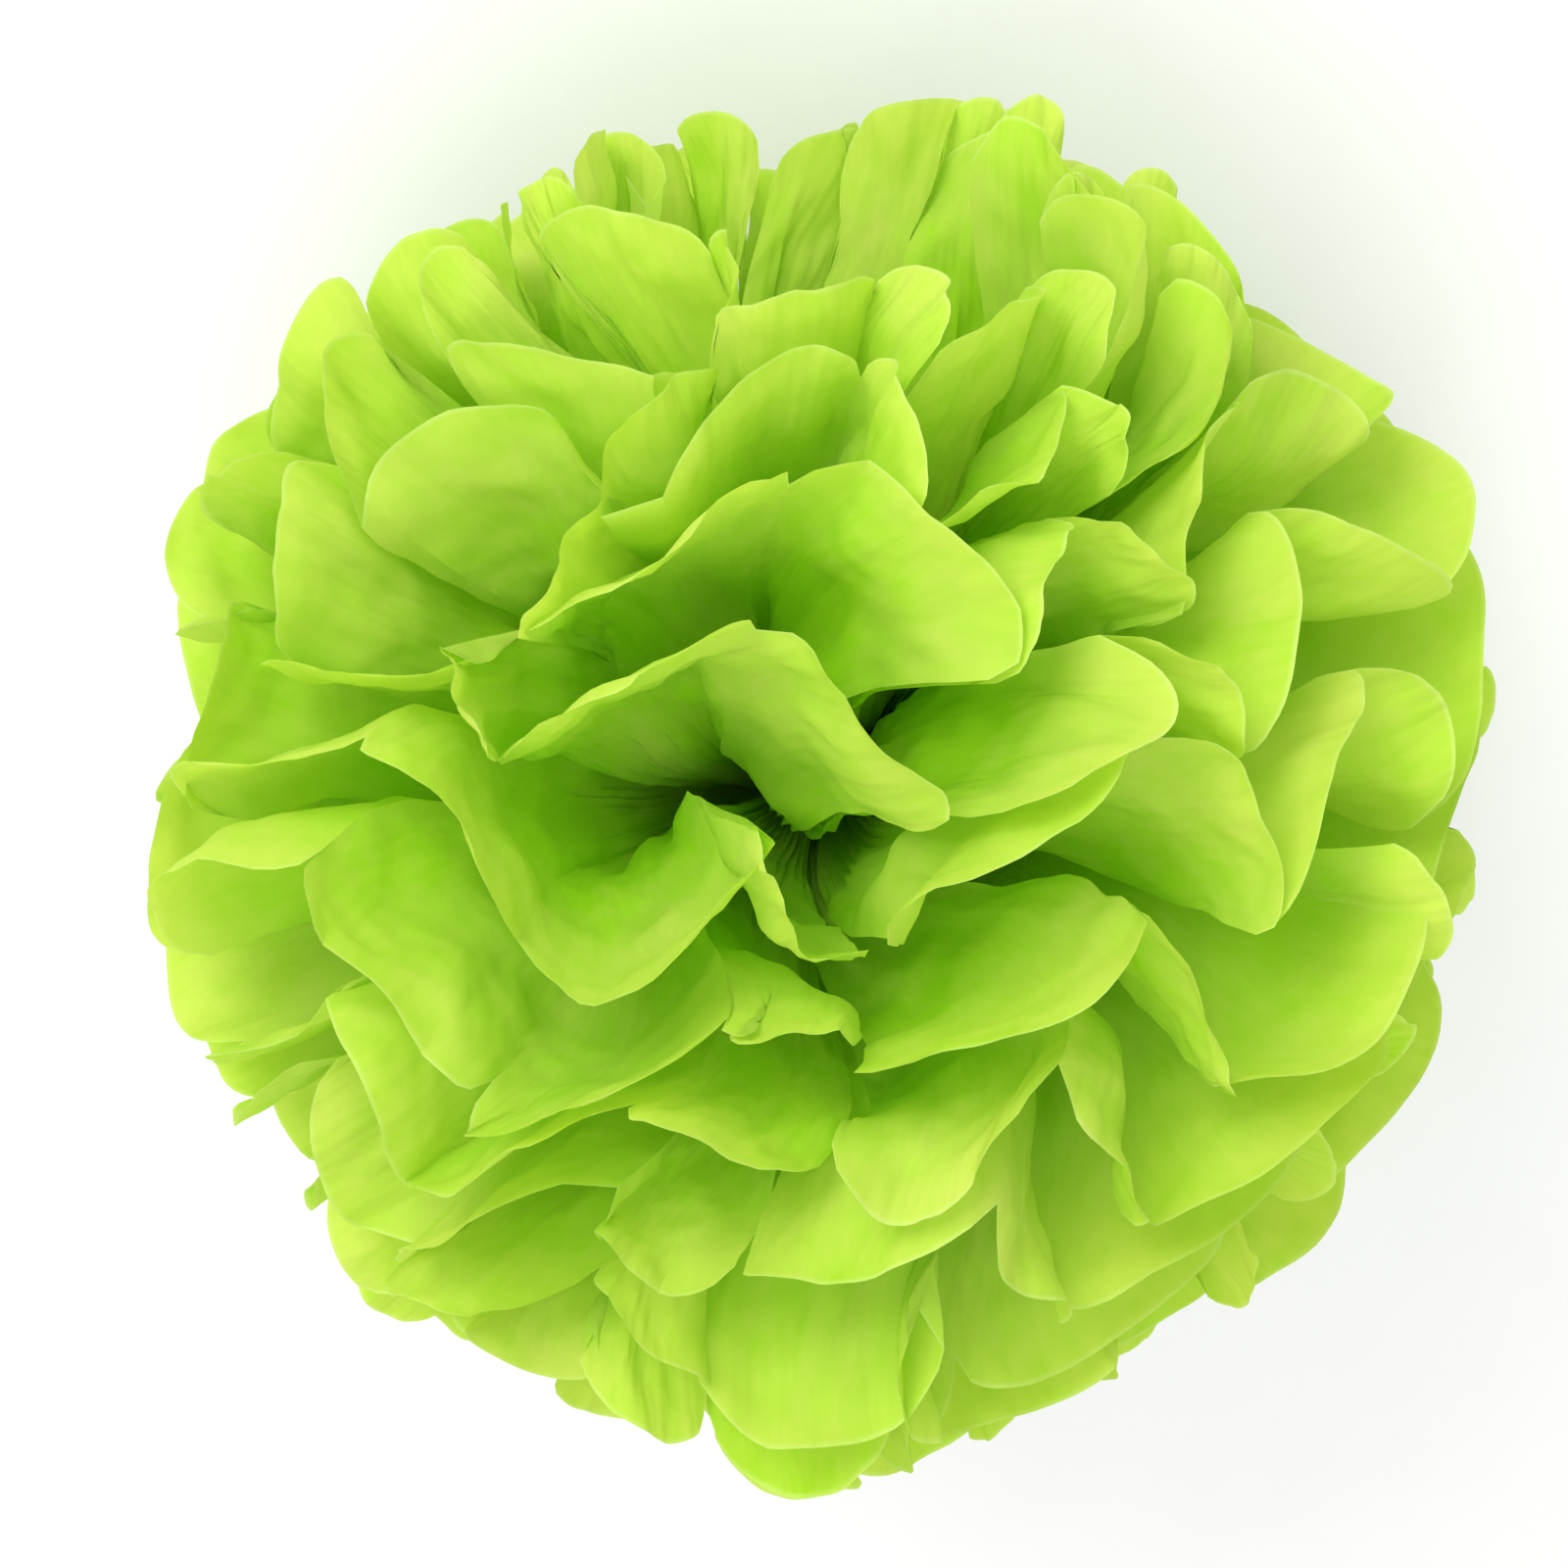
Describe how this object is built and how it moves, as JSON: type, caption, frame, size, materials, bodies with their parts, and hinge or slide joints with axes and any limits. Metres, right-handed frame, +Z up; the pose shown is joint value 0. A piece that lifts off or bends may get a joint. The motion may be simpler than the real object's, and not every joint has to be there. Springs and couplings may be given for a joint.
{
  "type": "tissue paper pom pom",
  "caption": "Round flower-like pom pom of pleated tissue paper with rounded petal tips, tied at the middle with wire and fluffed into a ball.",
  "frame": {"origin": "on the table under the ball, at the middle of its width and depth; the ball rests on its lower petals at Z = 0", "axes": "+Z up, X along the folded strip from one half of each sheet to the other, the open flower faces the front, -Y"},
  "size_m": [0.2572, 0.259, 0.2436],
  "materials": {
    "tissue": "matt translucent tissue",
    "wire": "satin"
  },
  "bodies": {
    "root": {"tissue_sheet_01": "tissue", "tissue_sheet_02": "tissue", "tissue_sheet_03": "tissue", "tissue_sheet_04": "tissue", "tissue_sheet_05": "tissue", "tissue_sheet_06": "tissue", "tissue_sheet_07": "tissue", "tissue_sheet_08": "tissue", "tissue_sheet_09": "tissue", "tissue_sheet_10": "tissue", "tissue_sheet_11": "tissue", "tissue_sheet_12": "tissue", "tie_wire": "wire"}
  },
  "joints": []
}
